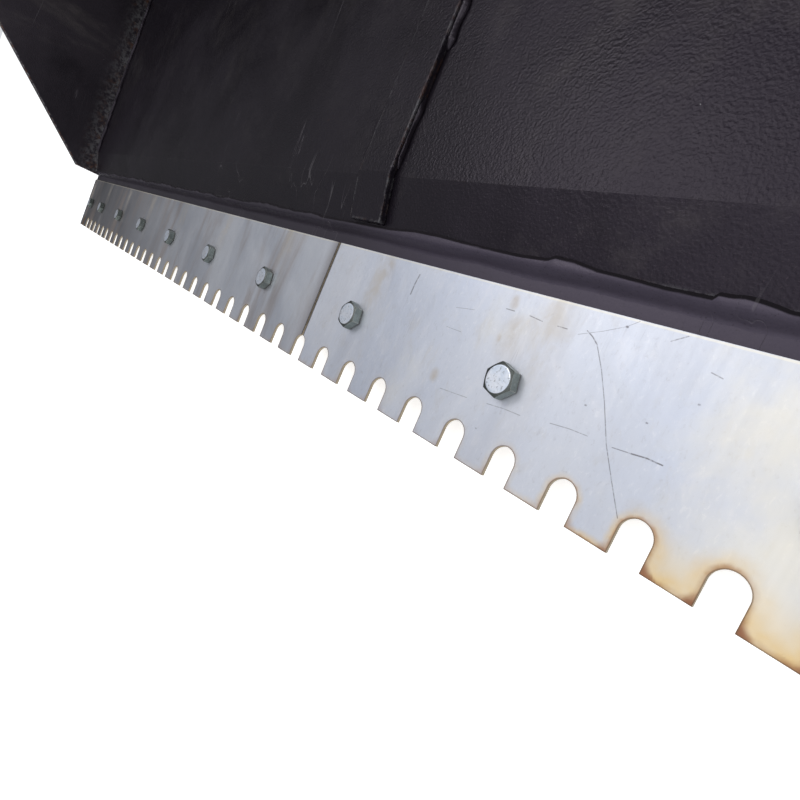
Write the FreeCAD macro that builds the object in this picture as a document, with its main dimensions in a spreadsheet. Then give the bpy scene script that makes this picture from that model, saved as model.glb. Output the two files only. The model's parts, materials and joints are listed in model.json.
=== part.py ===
import FreeCAD, Part
import math
import os
import Sketcher

# Skid steer bucket with a bolt-on serrated edge, in millimetres.
# Frame: X across the bucket, -Y towards the teeth, +Z up; the origin is on the ground, at the middle
# of the bounding box. Sketches use their own depth, measured back from the tooth tips, and every
# sub-part's Placement then moves it forward by half the overall depth.

doc = FreeCAD.newDocument("skid_steer_bucket")
sheet = doc.addObject("Spreadsheet::Sheet", "Dims")

DIMENSIONS = [
    # serrated edge, one strip each side of the middle seam
    ("strip_length", 1016.0),
    ("strip_width", 101.6),
    ("strip_thick", 2.0),
    ("seam_gap", 2.0),
    ("tooth_pitch", 38.1),
    ("notch_width", 15.8),
    ("notch_depth", 20.2),
    ("notch_count", 26),
    # fasteners, M12 by 16 hexagon bolts in tapped holes, their heads straight on the strip
    ("bolt_row", 50.8),
    ("bolt_step", 152.4),
    ("first_bolt_left", 95.25),
    ("first_bolt_right", 57.15),
    ("last_bolt_margin", 50.8),
    ("bolt_diameter", 12.0),
    ("bolt_length", 16.0),
    ("head_flats", 18.0),
    ("head_height", 7.5),
    ("crown_radius", 8.3),
    ("crown_slope", 1.73),
    ("head_turn", -19.0),
    ("head_turn_step", 2.3),
    ("strip_hole", 14.0),
    ("overlap", 2.0),
    ("tapped_hole", 12.2),
    # lip plate
    ("bucket_width", 2032.0),
    ("lip_front", 28.0),
    ("lip_depth", 152.4),
    ("lip_thick", 16.0),
    ("lip_bevel", 32.0),
    ("lip_nose", 6.0),
    # folded floor and back
    ("sheet_thick", 6.0),
    ("floor_front", 117.0),
    ("ramp_end", 154.0),
    ("floor_bottom", 25.0),
    ("back_outer", 716.0),
    ("back_top", 542.0),
    ("heel_radius", 150.0),
    # side plates and their reinforcing edges
    ("side_thick", 8.0),
    ("side_toe", 112.0),
    ("toe_height", 60.0),
    ("side_top", 556.0),
    ("side_top_front", 590.0),
    ("side_heel_radius", 175.0),
    ("shoe_heel_radius", 174.0),
    ("edge_bar_thick", 12.0),
    ("edge_bar_run", 97.0),
    ("shoe_front", 430.0),
    ("shoe_top", 175.0),
    ("shoe_chamfer", 100.0),
    # top channel
    ("channel_front", 640.0),
    ("channel_knee", 500.0),
    ("channel_foot", 430.0),
    # floor trim
    ("strap_width", 40.0),
    ("strap_thick", 6.0),
    ("strap_shift", 36.0),
    ("strap_front", 120.0),
    ("bar_width", 50.0),
    ("bar_front", 200.0),
    ("bar_rear", 530.0),
    ("bar_nose", 20.0),
    ("inner_bar_x", 280.0),
    ("outer_bar_x", 760.0),
    ("heel_plate_thick", 8.0),
    ("heel_plate_width", 1960.0),
    ("heel_plate_front", 540.0),
    ("heel_plate_top", 90.0),
    # quick-attach hitch
    ("hitch_width", 1130.0),
    ("pad_inner", 185.0),
    ("pad_thick", 10.0),
    ("pad_gap", 12.0),
    ("rib_thick", 12.0),
    ("rib_rear", 744.0),
    ("rib_toe", 20.0),
    ("rib_taper", 75.0),
    ("rib_step", 25.0),
    ("ledge_rear", 790.0),
    ("ledge_top", 125.0),
    ("ledge_thick", 12.0),
    ("slot_spacing", 1003.0),
    ("slot_width", 30.0),
    ("slot_length", 60.0),
    ("slot_depth", 757.0),
    ("hook_apex", 525.0),
    ("hook_drop", 40.0),
    ("hook_thick", 10.0),
    ("hook_top", 545.0),
]

for row, (alias, number) in enumerate(DIMENSIONS, start=1):
    sheet.set("A%d" % row, alias)
    sheet.set("B%d" % row, str(number))
    sheet.setAlias("B%d" % row, alias)
doc.recompute()

SUB_PARTS = []
FORWARD = "-Dims.ledge_rear / 2"
UP = FreeCAD.Vector(0, 0, 1)
SIDES = (("left", -1), ("right", 1))


def value(expression):
    """The present value of an expression, in millimetres."""
    result = sheet.evalExpression(expression)
    return float(getattr(result, "Value", result))


def dims(text):
    """Write short names as sheet cells: every alias in the text gets its sheet's name."""
    for alias in sorted((entry[0] for entry in DIMENSIONS), key=len, reverse=True):
        text = text.replace("<%s>" % alias, "Dims.%s" % alias)
    return text


def new_body(label, across="0"):
    """A body for one sub-part, moved sideways by an expression and forward by half the depth."""
    body = doc.addObject("PartDesign::Body", label)
    body.Label = label
    body.setExpression("Placement.Base.x", dims(across))
    body.setExpression("Placement.Base.y", FORWARD)
    SUB_PARTS.append(body)
    return body


def new_sketch(body, role, raised=None):
    """An empty sketch on one of the body's origin planes, raised along its normal if asked."""
    plane = [item for item in body.Origin.OriginFeatures if item.Role == role][0]
    sketch = body.newObject("Sketcher::SketchObject", body.Label + "_sketch")
    sketch.AttachmentSupport = [(plane, "")]
    sketch.MapMode = "FlatFace"
    if raised is not None:
        sketch.setExpression("AttachmentOffset.Base.z", dims(raised))
    return sketch


def pin(sketch, kind, geometry, end, expression):
    """Fix one coordinate of a point of a sketch element, measured from the sketch's origin."""
    place = value(dims(expression))
    index = sketch.addConstraint(Sketcher.Constraint(kind, -1, 1, geometry, end, place))
    sketch.setExpression("Constraints[%d]" % index, dims(expression))


def pin_point(sketch, geometry, end, across, up):
    """Fix both coordinates of a point of a sketch element."""
    pin(sketch, "DistanceX", geometry, end, across)
    pin(sketch, "DistanceY", geometry, end, up)


def at(x, y):
    """The sketch point at two expressions."""
    return FreeCAD.Vector(value(dims(x)), value(dims(y)), 0)


def join(sketch, first, second):
    """Tie the end of one sketch element to the start of another."""
    sketch.addConstraint(Sketcher.Constraint("Coincident", first, 2, second, 1))


def outline(sketch, corners):
    """A closed outline of straight lines through corners, each a pair of expressions."""
    points = [at(x, y) for x, y in corners]
    lines = []
    for number, start in enumerate(points):
        stop = points[(number + 1) % len(points)]
        lines.append(sketch.addGeometry(Part.LineSegment(start, stop), False))
    for number, line in enumerate(lines):
        join(sketch, line, lines[(number + 1) % len(lines)])
        pin_point(sketch, line, 1, *corners[number])
    return lines


def circles(sketch, centres, diameter):
    """Circles of one diameter, each centre a pair of expressions."""
    for x, y in centres:
        radius = value(dims(diameter)) / 2
        circle = sketch.addGeometry(Part.Circle(at(x, y), UP, radius), False)
        pin_point(sketch, circle, 3, x, y)
        index = sketch.addConstraint(Sketcher.Constraint("Diameter", circle, 2 * radius))
        sketch.setExpression("Constraints[%d]" % index, dims(diameter))


def pad(body, sketch, length, midplane=False):
    """Extrude a sketch along its normal, or half each way."""
    feature = body.newObject("PartDesign::Pad", body.Label + "_pad")
    feature.Profile = sketch
    feature.setExpression("Length", dims(length))
    if midplane:
        feature.SideType = "Symmetric"
    doc.recompute()
    body.Tip = feature
    return feature


def pocket(body, sketch, volume_before):
    """Cut a sketch through everything, and make sure that something was cut."""
    feature = body.newObject("PartDesign::Pocket", body.Label + "_pocket")
    feature.Profile = sketch
    feature.Type = "ThroughAll"
    feature.SideType = "Symmetric"
    doc.recompute()
    body.Tip = feature
    if feature.Shape.Volume > volume_before - 1:
        raise ValueError("%s: the pocket cut nothing" % body.Label)
    return feature


def long_edges_at(feature, depth, height):
    """Names of the edges that run along X through one point of the side view."""
    names = []
    for number, edge in enumerate(feature.Shape.Edges, start=1):
        ends = [vertex.Point for vertex in edge.Vertexes]
        runs_across = len(ends) == 2 and abs(ends[0].x - ends[1].x) > 1
        here = all(math.hypot(end.y - depth, end.z - height) < 0.01 for end in ends)
        if runs_across and here:
            names.append("Edge%d" % number)
    return names


def round_edge(body, depth, height, radius):
    """Fillet the body's long edge at one point of the side view."""
    base = body.Tip
    names = long_edges_at(base, value(dims(depth)), value(dims(height)))
    feature = body.newObject("PartDesign::Fillet", body.Label + "_bend")
    feature.Base = (base, names)
    feature.setExpression("Radius", dims(radius))
    doc.recompute()
    body.Tip = feature
    return feature


def side_view_plate(label, corners, length, across="0", midplane=False):
    """A plate or folded section whose side view is an outline, extruded across the bucket."""
    body = new_body(label, across)
    sketch = new_sketch(body, "YZ_Plane")
    outline(sketch, corners)
    pad(body, sketch, length, midplane)
    return body


# ---- fastener places, measured from the middle seam -------------------------------------------

def bolt_places(side):
    """Distances of one strip's seven bolts from the seam, as expressions."""
    places = ["<first_bolt_%s> + %d * <bolt_step>" % (side, step) for step in range(6)]
    if side == "left":
        places.append("<strip_length> - <last_bolt_margin>")
    else:
        places.append("<first_bolt_right> + 6 * <bolt_step>")
    return places


# ---- lip plate --------------------------------------------------------------------------------

def make_lip_plate():
    body = new_body("lip_plate")
    sketch = new_sketch(body, "YZ_Plane")
    outline(sketch, [
        ("<lip_front> + <lip_bevel>", "0"),
        ("<lip_front> + <lip_depth>", "0"),
        ("<lip_front> + <lip_depth>", "<lip_thick>"),
        ("<lip_front>", "<lip_thick>"),
        ("<lip_front>", "<lip_thick> - <lip_nose>"),
    ])
    plate = pad(body, sketch, "<bucket_width>", midplane=True)
    holes = new_sketch(body, "XY_Plane")
    centres = []
    for side, sign in SIDES:
        centres += [("%d * (%s)" % (sign, place), "<bolt_row>") for place in bolt_places(side)]
    circles(holes, centres, "<tapped_hole>")
    pocket(body, holes, plate.Shape.Volume)


# ---- serrated edge ----------------------------------------------------------------------------

def make_serrated_edge(side, sign):
    body = new_body("serrated_edge_" + side)
    blank = new_sketch(body, "XY_Plane", raised="<lip_thick>")
    near, far = ("%d * <seam_gap> / 2" % sign, "%d * <strip_length>" % sign)
    start, stop = (near, far) if sign > 0 else (far, near)
    outline(blank, [(start, "0"), (stop, "0"), (stop, "<strip_width>"), (start, "<strip_width>")])
    strip = pad(body, blank, "<strip_thick>")

    notch = new_sketch(body, "XY_Plane", raised="<lip_thick>")
    half, root = "<notch_width> / 2", "<notch_depth> - <notch_width> / 2"
    corners = [("-" + half, root), ("-" + half, "-<overlap>"), (half, "-<overlap>"), (half, root)]
    points = [at(x, y) for x, y in corners]
    lines = [notch.addGeometry(Part.LineSegment(a, b), False) for a, b in zip(points, points[1:])]
    root_circle = Part.Circle(at("0", root), UP, value(dims(half)))
    arc = notch.addGeometry(Part.ArcOfCircle(root_circle, 0, math.pi), False)
    loop = lines + [arc]
    for number, element in enumerate(loop):
        join(notch, element, loop[(number + 1) % len(loop)])
    for line, corner in zip(lines, corners):
        pin_point(notch, line, 1, *corner)
    pin_point(notch, lines[-1], 2, *corners[-1])
    pin(notch, "DistanceY", arc, 3, root)
    first_notch = pocket(body, notch, strip.Shape.Volume)

    row = body.newObject("PartDesign::LinearPattern", body.Label + "_notches")
    row.Originals = [first_notch]
    row.Direction = (notch, ["H_Axis"])
    row.Reversed = sign < 0
    row.setExpression("Length", dims("(<notch_count> - 1) * <tooth_pitch>"))
    row.setExpression("Occurrences", dims("<notch_count>"))
    body.Tip = row
    doc.recompute()

    holes = new_sketch(body, "XY_Plane", raised="<lip_thick>")
    places = [("%d * (%s)" % (sign, place), "<bolt_row>") for place in bolt_places(side)]
    circles(holes, places, "<strip_hole>")
    pocket(body, holes, row.Shape.Volume)


# ---- bolts ------------------------------------------------------------------------------------

def make_bolt():
    """One hexagon bolt, its head standing on Z = 0 and its shank below."""
    hexagon = doc.addObject("Part::Prism", "bolt_hexagon")
    hexagon.Polygon = 6
    hexagon.setExpression("Circumradius", dims("<head_flats> / 2 / cos(30)"))
    hexagon.setExpression("Height", dims("<head_height>"))
    crown = doc.addObject("Part::Cone", "bolt_crown")
    crown.setExpression("Height", dims("<head_height>"))
    crown.setExpression("Radius2", dims("<crown_radius>"))
    crown.setExpression("Radius1", dims("<crown_radius> + <head_height> * <crown_slope>"))
    head = doc.addObject("Part::Common", "bolt_head")
    head.Base = hexagon
    head.Tool = crown
    shank = doc.addObject("Part::Cylinder", "bolt_shank")
    shank.setExpression("Radius", dims("<bolt_diameter> / 2"))
    shank.setExpression("Height", dims("<bolt_length> + <overlap>"))
    shank.setExpression("Placement.Base.z", dims("-<bolt_length>"))
    bolt = doc.addObject("Part::Fuse", "bolt")
    bolt.Base = head
    bolt.Tool = shank
    return bolt


def make_bolt_row(bolt, side, sign):
    """The seven bolts of one strip, as separate solids of one sub-part."""
    copies = []
    for number, place in enumerate(bolt_places(side)):
        copy = bolt.Shape.copy()
        copy.rotate(FreeCAD.Vector(), UP, value(dims("<head_turn> + %d * <head_turn_step>" % number)))
        copy.translate(FreeCAD.Vector(sign * value(dims(place)), value(dims("<bolt_row>")), 0))
        copies.append(copy)
    row = doc.addObject("Part::Feature", "edge_bolts_" + side)
    row.Label = "edge_bolts_" + side
    row.Shape = Part.makeCompound(copies)
    seat = FreeCAD.Vector(0, value(FORWARD), value(dims("<lip_thick> + <strip_thick>")))
    row.Placement = FreeCAD.Placement(seat, FreeCAD.Rotation())
    SUB_PARTS.append(row)


def make_bolts():
    bolt = make_bolt()
    doc.recompute()
    for side, sign in SIDES:
        make_bolt_row(bolt, side, sign)


# ---- folded floor and back, and the channel along its top -------------------------------------

def make_shell():
    body = side_view_plate("floor_and_back", [
        ("<floor_front>", "<lip_thick>"),
        ("<ramp_end>", "<floor_bottom>"),
        ("<back_outer>", "<floor_bottom>"),
        ("<back_outer>", "<back_top>"),
        ("<back_outer> - <sheet_thick>", "<back_top>"),
        ("<back_outer> - <sheet_thick>", "<floor_bottom> + <sheet_thick>"),
        ("<ramp_end>", "<floor_bottom> + <sheet_thick>"),
        ("<floor_front>", "<lip_thick> + <sheet_thick>"),
    ], "<bucket_width> - 2 * <side_thick>", midplane=True)
    round_edge(body, "<back_outer>", "<floor_bottom>", "<heel_radius>")
    round_edge(body, "<back_outer> - <sheet_thick>", "<floor_bottom> + <sheet_thick>",
               "<heel_radius> - <sheet_thick>")


def make_top_channel():
    inner_back = "<back_outer> - <sheet_thick>"
    inner_front = "<channel_front> + <sheet_thick>"
    slant = "<sheet_thick> * sqrt(2)"
    side_view_plate("top_channel", [
        (inner_back, "<channel_foot>"),
        (inner_back, "<channel_foot> + " + slant),
        (inner_front, "<channel_foot> + %s + %s - (%s)" % (slant, inner_back, inner_front)),
        (inner_front, "<back_top>"),
        ("<back_outer>", "<back_top>"),
        ("<back_outer>", "<back_top> + <sheet_thick>"),
        ("<channel_front>", "<back_top> + <sheet_thick>"),
        ("<channel_front>", "<channel_foot> + %s - <channel_front>" % inner_back),
    ], "<bucket_width> - 2 * <side_thick>", midplane=True)


# ---- side plates, their front edges and heel shoes --------------------------------------------

def make_side(side, sign):
    half = "<bucket_width> / 2"
    inner = {-1: "-" + half, 1: half + " - <side_thick>"}[sign]
    body = side_view_plate("side_plate_" + side, [
        ("<side_toe>", "<lip_thick>"),
        ("<lip_front> + <lip_depth>", "<lip_thick>"),
        ("<lip_front> + <lip_depth>", "0"),
        ("<back_outer>", "0"),
        ("<back_outer>", "<side_top>"),
        ("<side_top_front>", "<side_top>"),
        ("<side_toe>", "<toe_height>"),
    ], "<side_thick>", across=inner)
    round_edge(body, "<back_outer>", "0", "<side_heel_radius>")

    outer = {-1: "-%s - <edge_bar_thick>" % half, 1: half}[sign]
    slope = "(<side_top_front> - <side_toe>) / (<side_top> - <toe_height>)"
    side_view_plate("side_edge_" + side, [
        ("<side_toe>", "<lip_thick>"),
        ("<side_toe> + <edge_bar_run> - (<toe_height> - <lip_thick>) * " + slope, "<lip_thick>"),
        ("<side_top_front> + <edge_bar_run>", "<side_top>"),
        ("<side_top_front>", "<side_top>"),
        ("<side_toe>", "<toe_height>"),
    ], "<edge_bar_thick>", across=outer)

    shoe = side_view_plate("heel_shoe_" + side, [
        ("<shoe_front>", "0"),
        ("<back_outer>", "0"),
        ("<back_outer>", "<shoe_top>"),
        ("<shoe_front> + <shoe_chamfer>", "<shoe_top>"),
        ("<shoe_front>", "<shoe_top> - <shoe_chamfer>"),
    ], "<edge_bar_thick>", across=outer)
    round_edge(shoe, "<back_outer>", "0", "<shoe_heel_radius>")


# ---- floor trim -------------------------------------------------------------------------------

def make_floor_trim():
    floor_top = "<floor_bottom> + <sheet_thick>"
    rise = "(<floor_bottom> - <lip_thick>) / (<ramp_end> - <floor_front>)"
    foot = "<lip_thick> + <sheet_thick> + (<strap_front> - <floor_front>) * " + rise
    heel_start = "<back_outer> - <heel_radius>"
    side_view_plate("centre_strap", [
        ("<strap_front>", foot),
        ("<ramp_end>", floor_top),
        (heel_start, floor_top),
        (heel_start, floor_top + " + <strap_thick>"),
        ("<ramp_end>", floor_top + " + <strap_thick>"),
        ("<strap_front>", foot + " + <strap_thick>"),
    ], "<strap_width>", across="<strap_shift> - <strap_width> / 2")

    places = ("-<outer_bar_x>", "-<inner_bar_x>", "<inner_bar_x>", "<outer_bar_x>")
    for number, place in enumerate(places, start=1):
        side_view_plate("wear_bar_%d" % number, [
            ("<bar_front> + <bar_nose>", "0"),
            ("<bar_rear> - <bar_nose>", "0"),
            ("<bar_rear>", "<floor_bottom>"),
            ("<bar_front>", "<floor_bottom>"),
        ], "<bar_width>", across=place + " - <bar_width> / 2")

    bend_top = "<floor_bottom> + <heel_radius> + <overlap>"
    outer_back, outer_floor = "<back_outer> + <heel_plate_thick>", "<floor_bottom> - <heel_plate_thick>"
    body = side_view_plate("heel_wear_plate", [
        ("<heel_plate_front>", outer_floor),
        (outer_back, outer_floor),
        (outer_back, bend_top),
        ("<back_outer>", bend_top),
        ("<back_outer>", "<floor_bottom>"),
        ("<heel_plate_front>", "<floor_bottom>"),
    ], "<heel_plate_width>", midplane=True)
    round_edge(body, outer_back, outer_floor, "<heel_radius> + <heel_plate_thick>")
    round_edge(body, "<back_outer>", "<floor_bottom>", "<heel_radius>")
    trim = new_sketch(body, "YZ_Plane")
    outline(trim, [
        ("<heel_plate_front>", "<heel_plate_top>"),
        (outer_back + " + <overlap>", "<heel_plate_top>"),
        (outer_back + " + <overlap>", bend_top + " + <overlap>"),
        ("<heel_plate_front>", bend_top + " + <overlap>"),
    ])
    pocket(body, trim, body.Tip.Shape.Volume)


# ---- quick-attach hitch on the back -----------------------------------------------------------

def make_hitch():
    half = "<hitch_width> / 2"
    rail_foot = "<hook_apex> - <hook_drop>"
    slant = "<hook_thick> / sqrt(2)"
    pad_rear = "<back_outer> + <pad_thick>"
    side_view_plate("hitch_top_rail", [
        ("<back_outer>", "<hook_apex>"),
        (pad_rear, "<hook_apex>"),
        (pad_rear + " + <hook_drop>", rail_foot),
        (pad_rear + " + <hook_drop> + " + slant, rail_foot + " + " + slant),
        (pad_rear + " + <hook_apex> + 2 * %s - <hook_top>" % slant, "<hook_top>"),
        ("<back_outer>", "<hook_top>"),
    ], "<hitch_width>", midplane=True)

    ledge = side_view_plate("hitch_ledge", [
        ("<back_outer>", "<ledge_top> - <ledge_thick>"),
        ("<ledge_rear>", "<ledge_top> - <ledge_thick>"),
        ("<ledge_rear>", "<ledge_top>"),
        ("<back_outer>", "<ledge_top>"),
    ], "<hitch_width>", midplane=True)
    cut_slots(ledge)

    for side, sign in SIDES:
        inner = {-1: "-%s + <rib_thick>" % half, 1: "<pad_inner>"}[sign]
        side_view_plate("hitch_pad_" + side, [
            ("<back_outer>", "<ledge_top>"),
            (pad_rear, "<ledge_top>"),
            (pad_rear, "<hook_apex> - <pad_gap>"),
            ("<back_outer>", "<hook_apex> - <pad_gap>"),
        ], half + " - <rib_thick> - <pad_inner>", across=inner)
        for name, place in (("outer", half + " - <rib_thick>"), ("inner", "<pad_inner> - <rib_thick>")):
            across = {-1: "-(%s) - <rib_thick>" % place, 1: place}[sign]
            side_view_plate("hitch_rib_%s_%s" % (side, name), [
                ("<back_outer>", "<ledge_top>"),
                ("<ledge_rear>", "<ledge_top>"),
                ("<ledge_rear>", "<ledge_top> + <rib_toe>"),
                ("<rib_rear>", "<ledge_top> + <rib_taper>"),
                ("<rib_rear>", rail_foot + " - <rib_step>"),
                (pad_rear + " + <hook_drop>", rail_foot),
                (pad_rear, "<hook_apex>"),
                ("<back_outer>", "<hook_apex>"),
            ], "<rib_thick>", across=across)


def cut_slots(body):
    """Two round-ended slots along X in the ledge, one for each wedge pin."""
    sketch = new_sketch(body, "XY_Plane", raised="<ledge_top>")
    radius = value(dims("<slot_width> / 2"))
    front, rear = "<slot_depth> - <slot_width> / 2", "<slot_depth> + <slot_width> / 2"
    for sign in (-1, 1):
        middle = "%d * <slot_spacing> / 2" % sign
        low = middle + " - (<slot_length> - <slot_width>) / 2"
        high = middle + " + (<slot_length> - <slot_width>) / 2"
        round_high = Part.Circle(at(high, "<slot_depth>"), UP, radius)
        round_low = Part.Circle(at(low, "<slot_depth>"), UP, radius)
        loop = [sketch.addGeometry(element, False) for element in (
            Part.LineSegment(at(low, front), at(high, front)),
            Part.ArcOfCircle(round_high, -math.pi / 2, math.pi / 2),
            Part.LineSegment(at(high, rear), at(low, rear)),
            Part.ArcOfCircle(round_low, math.pi / 2, 3 * math.pi / 2))]
        for number, element in enumerate(loop):
            join(sketch, element, loop[(number + 1) % 4])
        pin_point(sketch, loop[0], 1, low, front)
        pin_point(sketch, loop[0], 2, high, front)
        pin_point(sketch, loop[2], 1, high, rear)
        pin_point(sketch, loop[2], 2, low, rear)
        pin(sketch, "DistanceX", loop[1], 3, high)
        pin(sketch, "DistanceX", loop[3], 3, low)
    pocket(body, sketch, body.Tip.Shape.Volume)


# ---- the whole bucket -------------------------------------------------------------------------

make_lip_plate()
for name, direction in SIDES:
    make_serrated_edge(name, direction)
make_bolts()
make_shell()
make_top_channel()
for name, direction in SIDES:
    make_side(name, direction)
make_floor_trim()
make_hitch()
doc.recompute()

for item in doc.Objects:
    if "Invalid" in item.State or "Error" in item.State:
        raise ValueError("%s failed: %s" % (item.Name, item.State))
for part in SUB_PARTS:
    if part.Shape.isNull() or not part.Shape.isValid():
        raise ValueError("%s has no valid shape" % part.Label)

os.makedirs("parts", exist_ok=True)
for part in SUB_PARTS:
    part.Shape.exportStep("parts/%s.step" % part.Label)
    box = part.Shape.BoundBox
    print("%-22s solids %2d  volume %10.0f  X %7.1f..%7.1f  Y %7.1f..%7.1f  Z %6.1f..%6.1f" % (
        part.Label, len(part.Shape.Solids), part.Shape.Volume,
        box.XMin, box.XMax, box.YMin, box.YMax, box.ZMin, box.ZMax))
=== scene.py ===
import json
import math
import random

import bmesh
import bpy
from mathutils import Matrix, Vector, noise


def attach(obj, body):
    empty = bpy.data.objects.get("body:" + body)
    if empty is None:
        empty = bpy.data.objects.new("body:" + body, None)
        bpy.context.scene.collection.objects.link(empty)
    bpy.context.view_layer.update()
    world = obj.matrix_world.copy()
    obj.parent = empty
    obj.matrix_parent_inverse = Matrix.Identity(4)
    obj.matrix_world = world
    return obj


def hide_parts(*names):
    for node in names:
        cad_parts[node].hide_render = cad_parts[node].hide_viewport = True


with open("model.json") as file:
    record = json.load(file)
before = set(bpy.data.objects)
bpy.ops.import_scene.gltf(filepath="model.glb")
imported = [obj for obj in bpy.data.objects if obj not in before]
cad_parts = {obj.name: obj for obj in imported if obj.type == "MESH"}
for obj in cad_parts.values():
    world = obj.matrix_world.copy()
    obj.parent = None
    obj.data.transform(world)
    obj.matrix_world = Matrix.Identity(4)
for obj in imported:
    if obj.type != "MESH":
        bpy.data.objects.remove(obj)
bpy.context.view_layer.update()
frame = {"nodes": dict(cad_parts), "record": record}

# Places are in metres in the row frame. The strip's layout, which its material draws with, is in millimetres.
PITCH = 38.1
NOTCH_RADIUS = 7.9
NOTCH_ROOT = 12.3
TIPS_Y = -395.0
STRIP_DEPTH = 101.6
BOLT_SPACING = 152.4
FIRST_RIGHT, FIRST_LEFT, LAST_LEFT = 0.05715, -0.09525, -0.9652
STRIP_TOP = 0.018
LIP_TOP = 0.016


class Look:
    """A material being built. Each helper adds shader nodes and returns the socket with the result."""

    def __init__(self, name):
        self.material = bpy.data.materials.new(name)
        self.material.use_nodes = True
        self.nodes = self.material.node_tree.nodes
        self.links = self.material.node_tree.links
        self.nodes.clear()
        self.place = self.add("ShaderNodeTexCoord").outputs["Object"]
        geometry = self.add("ShaderNodeNewGeometry")
        self.normal = geometry.outputs["Normal"]
        self.facing = self.parts(geometry.outputs["True Normal"])

    def feed(self, socket, value):
        if isinstance(value, bpy.types.NodeSocket):
            self.links.new(value, socket)
        else:
            socket.default_value = value

    def add(self, kind, feeds=(), **settings):
        node = self.nodes.new(kind)
        for name, setting in settings.items():
            setattr(node, name, setting)
        for key, value in dict(feeds).items():
            self.feed(node.inputs[key], value)
        return node

    def parts(self, vector):
        split = self.add("ShaderNodeSeparateXYZ", {0: vector})
        return [split.outputs[axis] for axis in range(3)]

    def math(self, operation, first, second=0.0, clamp=False):
        """One Math node."""
        node = self.add("ShaderNodeMath", {0: first, 1: second}, operation=operation, use_clamp=clamp)
        return node.outputs[0]

    def step(self, value, low, high, start=0.0, end=1.0):
        """Smooth step from start to end while value goes from low to high."""
        feeds = {"Value": value, "From Min": low, "From Max": high, "To Min": start, "To Max": end}
        node = self.add("ShaderNodeMapRange", feeds, interpolation_type="SMOOTHSTEP")
        return node.outputs["Result"]

    def noise(self, scale, detail=4.0, rough=0.55, stretch=(1.0, 1.0, 1.0), shift=0.0, warp=0.0):
        moved = {"Vector": self.place, "Scale": stretch, "Location": (shift, shift * 0.7, shift * 1.3)}
        mapped = self.add("ShaderNodeMapping", moved).outputs[0]
        feeds = {"Vector": mapped, "Scale": scale, "Detail": detail, "Roughness": rough, "Distortion": warp}
        return self.add("ShaderNodeTexNoise", feeds).outputs["Fac"]

    def cells(self, scale, shift):
        moved = {"Vector": self.place, "Location": (shift, shift, shift)}
        mapped = self.add("ShaderNodeMapping", moved).outputs[0]
        return self.add("ShaderNodeTexVoronoi", {"Vector": mapped, "Scale": scale}).outputs["Distance"]

    def mix(self, factor, first, second, mode="MIX"):
        node = self.add("ShaderNodeMix", data_type="RGBA", blend_type=mode)
        for index, value in ((0, factor), (6, first), (7, second)):
            self.feed(node.inputs[index], value)
        return node.outputs[2]

    def value(self, factor, first, second):
        node = self.add("ShaderNodeMix", {0: factor, 2: first, 3: second}, data_type="FLOAT")
        return node.outputs[0]

    def worn_edges(self, radius):
        """1 on outside edges, 0 on flats."""
        bevel = self.add("ShaderNodeBevel", {"Radius": radius}, samples=4).outputs[0]
        dot = self.add("ShaderNodeVectorMath", {0: bevel, 1: self.normal}, operation="DOT_PRODUCT")
        return self.step(dot.outputs["Value"], 0.995, 0.93)

    def scratches(self, scale, angle, shift, width):
        """Thin short straight scuffs that run one way."""
        turned = self.add("ShaderNodeMapping", {
            "Vector": self.place,
            "Rotation": (angle * 0.6, angle * 0.3, angle),
            "Scale": (1.0, 0.03, 1.0),
            "Location": (shift, shift, shift),
        }).outputs[0]
        feeds = {"Vector": turned, "Scale": scale * 2.0, "Detail": 2.0, "Roughness": 0.5}
        wave = self.add("ShaderNodeTexNoise", feeds).outputs["Fac"]
        line = self.step(self.math("ABSOLUTE", self.math("SUBTRACT", wave, 0.5)), width, 0.0)
        gate = self.step(self.noise(scale * 0.35, 2.0, shift=shift + 3.0), 0.60, 0.66)
        return self.math("MULTIPLY", line, gate)

    def height(self, socket, distance, strength, under=None):
        """Bump from a height. Under is the bump that it lies on."""
        feeds = {"Height": socket, "Distance": distance, "Strength": strength}
        if under is not None:
            feeds["Normal"] = under
        return self.add("ShaderNodeBump", feeds).outputs[0]

    def finish(self, color, rough, metal, normal, specular=0.5, tint=(1.0, 1.0, 1.0, 1.0)):
        feeds = {
            "Base Color": color,
            "Roughness": rough,
            "Metallic": metal,
            "Normal": normal,
            "Specular IOR Level": specular,
            "Specular Tint": tint,
        }
        shader = self.add("ShaderNodeBsdfPrincipled", feeds)
        output = self.add("ShaderNodeOutputMaterial")
        self.links.new(shader.outputs[0], output.inputs[0])
        return self.material


# ---- bare steel of the serrated strips --------------------------------------------------------

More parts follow.
